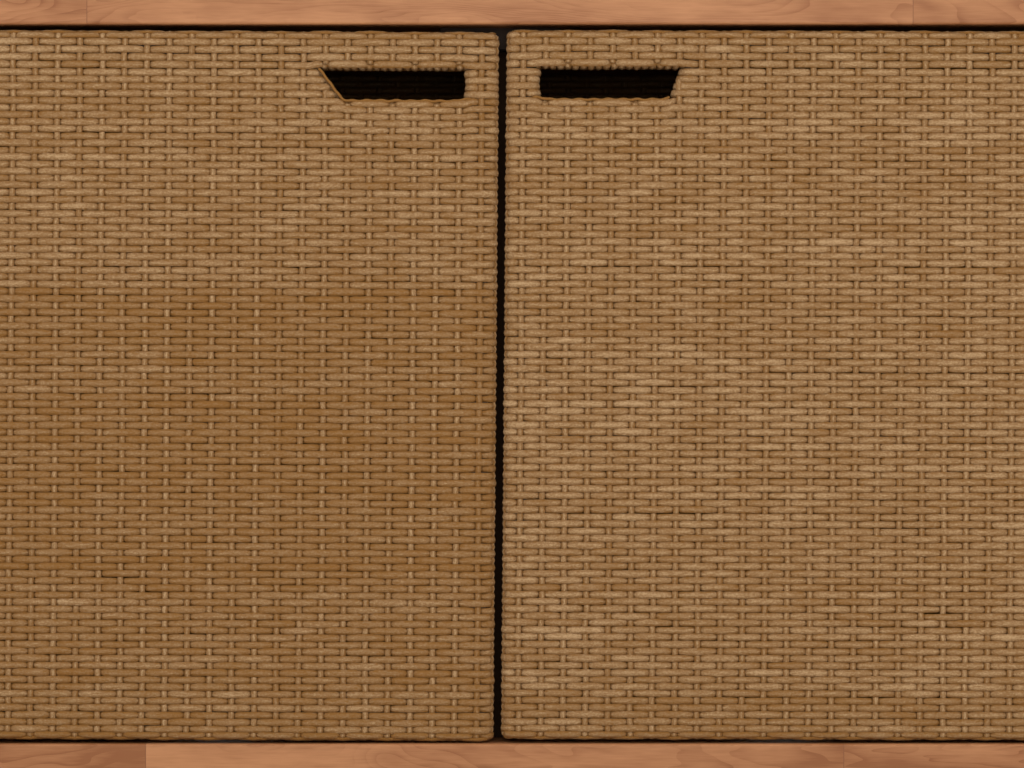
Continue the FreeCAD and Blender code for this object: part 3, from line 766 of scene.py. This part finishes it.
def oiled_cherry(name, colours, turn, stave_length=0.0, stave_shift=0.0, shade_painted_to=None):
    """Oiled cherry: reddish, smooth and satin, with slow arcs of figure along the grain.

    turn brings the grain onto X. Boards are glued up from staves; a stave_length of 0 gives one
    whole piece. All that lies in front of a given depth along Y is painted dark brown, as painted
    shade. The figure is about 310 mm long and 70 mm wide. The pores are drawn 18 by 1.1 mm, wider
    than real ones so that they show.
    """
    material, tree, shader = new_material(name)
    object_place = add_node(tree, "ShaderNodeTexCoord").outputs["Object"]
    turned = add_node(tree, "ShaderNodeMapping", {"Vector": object_place, "Rotation": turn})
    grain_place = turned
    if stave_length:
        moved = add_node(tree, "ShaderNodeMapping", {
            "Vector": grain_place, "Location": (stave_shift, 5 * STAVE_WIDTH, 0)})
        staves = add_node(tree, "ShaderNodeTexBrick", {
            "Vector": moved, "Color1": (0.0, 0.0, 0.0), "Color2": (1.0, 1.0, 1.0),
            "Mortar": (0.5, 0.5, 0.5), "Scale": 1.0, "Mortar Size": 0.35 * MM,
            "Mortar Smooth": 0.3, "Brick Width": stave_length, "Row Height": STAVE_WIDTH},
            offset=0.37, offset_frequency=2)
        jump = add_node(tree, "ShaderNodeVectorMath", {
            0: staves, "Scale": 7.0}, operation="SCALE")
        shifted = add_node(tree, "ShaderNodeVectorMath", {
            0: grain_place, 1: jump}, operation="ADD")
        grain_place = shifted
    stretched = add_node(tree, "ShaderNodeMapping", {
        "Vector": grain_place, "Scale": (3.2, 14.0, 14.0)})
    drift = add_node(tree, "ShaderNodeTexNoise", {
        "Vector": stretched, "Scale": 1.0, "Detail": 3.5, "Roughness": 0.5,
        "Distortion": 0.35})
    # Each year's wood darkens slowly and ends in a thin line, some 6 mm from the last.
    rings = add_node(tree, "ShaderNodeMath", {0: drift, 1: 30.0}, operation="MULTIPLY")
    year = add_node(tree, "ShaderNodeMath", {0: rings}, operation="FRACT")
    late_wood = add_node(tree, "ShaderNodeMath", {0: year, 1: 3.0}, operation="POWER")
    pore_place = add_node(tree, "ShaderNodeMapping", {
        "Vector": grain_place, "Scale": (55.0, 900.0, 900.0)})
    pores = add_node(tree, "ShaderNodeTexNoise", {
        "Vector": pore_place, "Scale": 1.0, "Detail": 2.0})
    blush = add_node(tree, "ShaderNodeTexNoise", {
        "Vector": stretched, "Scale": 1.9, "Detail": 4.0, "Roughness": 0.6})
    # The lines come and go with the figure.
    line_strength = add_node(tree, "ShaderNodeMapRange", {
        "Value": blush, "From Min": 0.64, "From Max": 0.40, "To Min": 0.0, "To Max": -0.5})
    shade = add_up(tree, 0.5, ((late_wood, line_strength), (pores, 0.5), (blush, 2.0)))
    shift = add_node(tree, "ShaderNodeMath", {0: shade, 1: 1.2}, operation="SUBTRACT")
    ramp = add_node(tree, "ShaderNodeValToRGB", {"Fac": shift})
    set_ramp(ramp, ((0.1, colours.cherry_dark), (0.9, colours.cherry_light)))
    surface = ramp
    if stave_length:
        stave_tone = add_node(tree, "ShaderNodeMapRange", {
            "Value": staves, "To Min": 0.93, "To Max": 1.05})
        toned = add_node(tree, "ShaderNodeVectorMath", {
            0: surface, "Scale": stave_tone}, operation="SCALE")
        joined = add_node(tree, "ShaderNodeMix", {
            "Factor": staves.outputs["Fac"], 6: toned, 7: colour("#7c4c2c")},
            data_type="RGBA")
        surface = joined.outputs[2]
    roughness = 0.5
    if shade_painted_to is not None:
        # What lies in front of the edge is painted near-black brown, as painted shade in the gap between
        # the doors, and made fully rough.
        depth = add_node(tree, "ShaderNodeSeparateXYZ", {"Vector": object_place})
        front = add_node(tree, "ShaderNodeMath", {
            0: depth.outputs["Y"], 1: shade_painted_to}, operation="LESS_THAN")
        painted_edge_shade = add_node(tree, "ShaderNodeMix", {
            "Factor": front, 6: surface, 7: colour("#33200f")}, data_type="RGBA")
        surface = painted_edge_shade.outputs[2]
        roughness = add_node(tree, "ShaderNodeMapRange", {
            "Value": front, "To Min": roughness, "To Max": 1.0})
    bump = add_node(tree, "ShaderNodeBump", {
        "Height": pores, "Strength": 0.12, "Distance": 0.2 * MM})
    fill_sockets(tree, shader, {
        "Base Color": surface, "Normal": bump, "Roughness": roughness, "Specular IOR Level": 0.3})
    return material


def grained_finish(name, shade, darker, grain, roughness, bump_size, metallic=0.0):
    """A moulded, coated or cut surface: two near shades in a fine grain, which is its relief too."""
    material, tree, shader = new_material(name)
    place = add_node(tree, "ShaderNodeTexCoord").outputs["Object"]
    fine = add_node(tree, "ShaderNodeTexNoise", {"Vector": place, "Scale": 1 / grain, "Detail": 3.0})
    broad = add_node(tree, "ShaderNodeTexNoise", {"Vector": place, "Scale": 22.0, "Detail": 2.0})
    mixed = add_node(tree, "ShaderNodeMath", {
        0: fine, 1: broad}, operation="MULTIPLY")
    spread = add_node(tree, "ShaderNodeMath", {0: mixed, 1: 3.0, 2: -0.25},
                      operation="MULTIPLY_ADD")
    ramp = add_node(tree, "ShaderNodeValToRGB", {"Fac": spread})
    set_ramp(ramp, ((0.0, colour(darker)), (1.0, colour(shade))))
    bump = add_node(tree, "ShaderNodeBump", {
        "Height": fine, "Strength": 0.3, "Distance": bump_size})
    fill_sockets(tree, shader, {
        "Base Color": ramp, "Normal": bump, "Roughness": roughness, "Metallic": metallic})
    return material


# ---- operators ----
class CABINET_OT_finish_wood(bpy.types.Operator):
    """Gives the boards, posts, rails, shelves and battens their oiled cherry"""

    bl_idname = "cabinet.finish_wood"
    bl_label = "Finish the wood"

    def execute(self, context):
        colours = context.scene.cabinet_colours
        level, upright, deep = (0, 0, 0), (0, math.pi / 2, 0), (0, 0, math.pi / 2)
        paint(["top_board"], oiled_cherry("oiled_cherry_top_staves", colours, level, 0.62, 0.31))
        paint(["bottom_board", "left_shelf", "right_shelf"],
              oiled_cherry("oiled_cherry_bottom_staves", colours, level, 0.524, 0.266))
        paint(["cable_rail"], oiled_cherry("oiled_cherry_rail", colours, level))
        posts = [end + "_" + side + "_post" for end in ("front", "rear") for side in SIDES]
        battens = [side + "_shelf_battens" for side in SIDES]
        paint(posts + battens, oiled_cherry("oiled_cherry_upright", colours, upright))
        paint([side + "_lower_rail" for side in SIDES],
              oiled_cherry("oiled_cherry_front_to_back", colours, deep))
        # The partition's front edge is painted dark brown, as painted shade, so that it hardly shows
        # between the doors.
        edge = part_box("centre_partition")[0][1] + 1 * MM
        paint(["centre_partition"],
              oiled_cherry("oiled_cherry_dark_edge", colours, upright, shade_painted_to=edge))
        return {"FINISHED"}


class CABINET_OT_finish_fittings(bpy.types.Operator):
    """Gives the tubes, pivots, bolts, catch, glides and pins their finishes"""

    bl_idname = "cabinet.finish_fittings"
    bl_label = "Finish the fittings"

    def execute(self, context):
        doors = [side + "_door_" for side in SIDES]
        tubes = [door + part for door in doors for part in (
            "hinge_stile", "meeting_stile", "top_rail", "grip_rail", "mid_rail", "bottom_rail",
            "grip_post")]
        tubes += ["left_side_panel_frame", "right_side_panel_frame", "back_panel_frame"]
        # Powder-coated steel tube: a fine orange-peel skin, half matt.
        paint(tubes,
              grained_finish("powder_coated_tube", "#4f3828", "#3a281c", 1.1 * MM, 0.5, 0.15 * MM))
        # Zinc-plated steel: bluish grey metal with a faint spangle.
        steel = [door + part for door in doors for part in (
            "upper_pivot", "lower_pivot", "strike_plate", "strike_screws")]
        steel += ["frame_bolts", "barrel_nuts", "batten_screws", "catch_screws"]
        paint(steel,
              grained_finish("zinc_plated_steel", "#c9cbcb", "#a4a7a8", 1.5 * MM, 0.32, 0.04 * MM, 1.0))
        # Turned brass: warm metal, lightly brushed.
        paint(["pivot_bushes", "shelf_pins"],
              grained_finish("turned_brass", "#d9b064", "#b98f48", 1.2 * MM, 0.28, 0.03 * MM, 1.0))
        # Moulded nylon: milky and slightly waxy.
        paint([door + "washer" for door in doors] + ["foot_glides"],
              grained_finish("moulded_nylon", "#d8d0c0", "#c4baa6", 1.6 * MM, 0.45, 0.08 * MM))
        # Moulded brown plastic with a spark-eroded texture.
        paint(["catch_housing", "cable_port_liners"],
              grained_finish("moulded_brown_plastic", "#33200f", "#23150a", 0.9 * MM, 0.85, 0.12 * MM))
        # Sintered ferrite: dull dark grey ceramic.
        paint(["catch_magnets"],
              grained_finish("sintered_ferrite", "#3c3c3f", "#29292b", 0.8 * MM, 0.6, 0.06 * MM))
        # Turned beech dowels: pale, with short flecks.
        paint(["dowels"], grained_finish("turned_beech", "#d8b58a", "#b98f62", 1.4 * MM, 0.6, 0.1 * MM))
        return {"FINISHED"}


def rope(scene):
    return bpy.data.materials.get("twisted_fibre_rope") or twisted_rope(scene.cabinet_colours)


class CABINET_OT_weave_door(bpy.types.Operator):
    """Weaves one door all round, with the finger hole's edges"""

    bl_idname = "cabinet.weave_door"
    bl_label = "Weave a door"

    side: bpy.props.EnumProperty(
        name="Side", description="Which door to weave", default="left",
        items=[("left", "Left", "The left door"), ("right", "Right", "The right door")])

    def execute(self, context):
        sizes = context.scene.cabinet_weave
        left = self.side == "left"
        name = self.side + "_door"
        slab = Slab(name, name, rope(context.scene), sizes, (0.0, -1.0), 9 * MM, 6 * MM, DOOR_WEAVE)
        hole = FingerHole(slab, self.side)
        slab.hole = hole
        slab.lean = sizes.lean
        slab.sag = sizes.left_sag if left else sizes.right_sag
        # The courses' dips are shifted so that the free edge has its first warp where it should.
        end = slab.half_v - slab.end_radius + slab.end_radius * math.pi / 2
        phase = (end + sizes.first_warp - slab.end_radius) % slab.pitch
        slab.phase = phase if left else slab.pitch - phase
        slab.anchor = (hole.low_z + hole.high_z) / 2
        numbers, heights = slab.rows()
        cut = [n for n, t in zip(numbers, heights) if hole.low_z < t < hole.high_z]
        seed = 11 if left else 23
        # Each door was woven from a darker bundle up to this height.
        bundle_top, shade = (0.479, -0.42) if left else (0.303, -0.08)
        darker = round((bundle_top - slab.anchor) / sizes.course_rise)
        weave_courses(slab, seed, cut, ((numbers[0], darker, shade),))
        weave_hole_courses(slab, seed + 1)
        weave_warps(slab, seed + 2)
        weave_hole_wraps(slab, seed + 3)
        weave_hole_lip(slab, seed + 4)
        return {"FINISHED"}


class CABINET_OT_weave_panels(bpy.types.Operator):
    """Weaves the side panels and the back panel all round"""

    bl_idname = "cabinet.weave_panels"
    bl_label = "Weave the fixed panels"

    def execute(self, context):
        panels = (
            ("left_side_panel", (-1.0, 0.0), 41),
            ("right_side_panel", (1.0, 0.0), 53),
            ("back_panel", (0.0, 1.0), 67),
        )
        for name, outwards, seed in panels:
            slab = Slab(name, "cabinet", rope(context.scene), context.scene.cabinet_weave,
                        outwards, 6 * MM, 5 * MM, 5 * MM)
            weave_courses(slab, seed, forms=(PANEL_STITCH, COARSE_STITCH), corners=4)
            weave_warps(slab, seed + 2, corners=4, between=False)
        return {"FINISHED"}


class CABINET_OT_set_stage(bpy.types.Operator):
    """Sets the floor, the backdrop, the lamps and the camera"""

    bl_idname = "cabinet.set_stage"
    bl_label = "Set the stage"

    def execute(self, context):
        settings = context.scene.cabinet_stage
        deselect_all()
        bpy.ops.mesh.primitive_plane_add(size=14, location=(0, 0, 0))
        floor = context.active_object
        floor.name = "studio_floor"
        material, tree, shader = new_material("matt_studio_paper")
        fill_sockets(tree, shader, {"Base Color": tuple(settings.floor), "Roughness": 0.9})
        # Away from the cabinet the paper fades into the backdrop, so there is no horizon.
        place = add_node(tree, "ShaderNodeTexCoord").outputs["Object"]
        distance = add_node(tree, "ShaderNodeVectorMath", {0: place}, operation="LENGTH")
        far = add_node(tree, "ShaderNodeMapRange", {
            "Value": distance.outputs["Value"], "From Min": 0.9, "From Max": 4.2},
            interpolation_type="SMOOTHSTEP")
        share = add_node(tree, "ShaderNodeMath", {
            0: far, 1: seen_ray(tree)}, operation="MULTIPLY")
        backdrop = add_node(tree, "ShaderNodeEmission", {
            "Color": (1.0, 1.0, 1.0), "Strength": settings.backdrop_strength})
        paper = add_node(tree, "ShaderNodeMixShader", {0: share, 1: shader, 2: backdrop})
        fill_sockets(tree, tree.nodes["Material Output"], {"Surface": paper})
        # The paper is no lamp.
        material.cycles.emission_sampling = "NONE"
        floor.data.materials.append(material)
        # name, place, aim, size and power
        lamps = (
            ("left_lamp", (-2.1, -2.3, 2.3), (0, -0.24, 0.45), 2.0, settings.key_power),
            ("right_lamp", (2.1, -2.5, 2.0), (0, -0.24, 0.4), 2.0, settings.fill_power),
            ("back_lamp", (0.9, 2.1, 2.6), (0, 0, 0.5), 2.0, settings.back_power),
            ("front_lamp", (0.1, -3.0, 0.95), (0, -0.24, 0.4), 1.2, settings.front_power),
        )
        for name, place, aim, size, power in lamps:
            bpy.ops.object.light_add(type="AREA", location=place)
            lamp = context.active_object
            lamp.name = name
            lamp.data.energy = power
            lamp.data.size = size
            way = np.array(aim) - np.array(place)
            lamp.rotation_euler = (
                math.atan2(math.hypot(way[0], way[1]), -way[2]), 0, math.atan2(-way[0], way[1]))
        world = bpy.data.worlds.new("studio_room")
        world.use_nodes = True
        context.scene.world = world
        room = world.node_tree
        room.nodes.clear()
        # The backdrop is seen and reflected pale, and lights the cabinet at the room's own level.
        strength = add_node(room, "ShaderNodeMapRange", {
            "Value": seen_ray(room), "To Min": settings.world_strength,
            "To Max": settings.backdrop_strength})
        light = add_node(room, "ShaderNodeBackground", {"Color": (1.0, 1.0, 1.0), "Strength": strength})
        add_node(room, "ShaderNodeOutputWorld", {"Surface": light})
        low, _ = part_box("left_door_weave")
        bpy.ops.object.camera_add(
            location=(0.009, low[1] - settings.camera_distance, settings.camera_height),
            rotation=(math.pi / 2, 0, 0))
        camera = context.active_object
        camera.name = "front_camera"
        camera.data.lens = settings.focal_length
        camera.data.clip_end = 60
        context.scene.camera = camera
        context.scene.view_settings.view_transform = "Standard"
        return {"FINISHED"}


class CABINET_PT_tools(bpy.types.Panel):
    """The cabinet's tools, sizes and colours"""

    bl_label = "Woven console cabinet"
    bl_space_type = "VIEW_3D"
    bl_region_type = "UI"
    bl_category = "Cabinet"

    def draw(self, context):
        layout = self.layout
        layout.operator("cabinet.finish_wood")
        layout.operator("cabinet.finish_fittings")
        for side in SIDES:
            layout.operator("cabinet.weave_door", text="Weave the " + side + " door").side = side
        layout.operator("cabinet.weave_panels")
        layout.operator("cabinet.set_stage")
        for group in (context.scene.cabinet_weave, context.scene.cabinet_colours,
                      context.scene.cabinet_stage):
            box = layout.box()
            for name in group.__annotations__:
                box.prop(group, name)


CLASSES = (
    WeaveSizes, FinishColours, StageSettings,
    CABINET_OT_finish_wood, CABINET_OT_finish_fittings, CABINET_OT_weave_door,
    CABINET_OT_weave_panels, CABINET_OT_set_stage, CABINET_PT_tools,
)


def register():
    for cls in CLASSES:
        bpy.utils.register_class(cls)
    bpy.types.Scene.cabinet_weave = bpy.props.PointerProperty(type=WeaveSizes)
    bpy.types.Scene.cabinet_colours = bpy.props.PointerProperty(type=FinishColours)
    bpy.types.Scene.cabinet_stage = bpy.props.PointerProperty(type=StageSettings)


def unregister():
    del bpy.types.Scene.cabinet_stage
    del bpy.types.Scene.cabinet_colours
    del bpy.types.Scene.cabinet_weave
    for cls in reversed(CLASSES):
        bpy.utils.unregister_class(cls)


def main():
    register()
    bpy.ops.cabinet.finish_wood()
    bpy.ops.cabinet.finish_fittings()
    for side in SIDES:
        bpy.ops.cabinet.weave_door(side=side)
    bpy.ops.cabinet.weave_panels()
    bpy.ops.cabinet.set_stage()


if __name__ == "__main__":
    main()
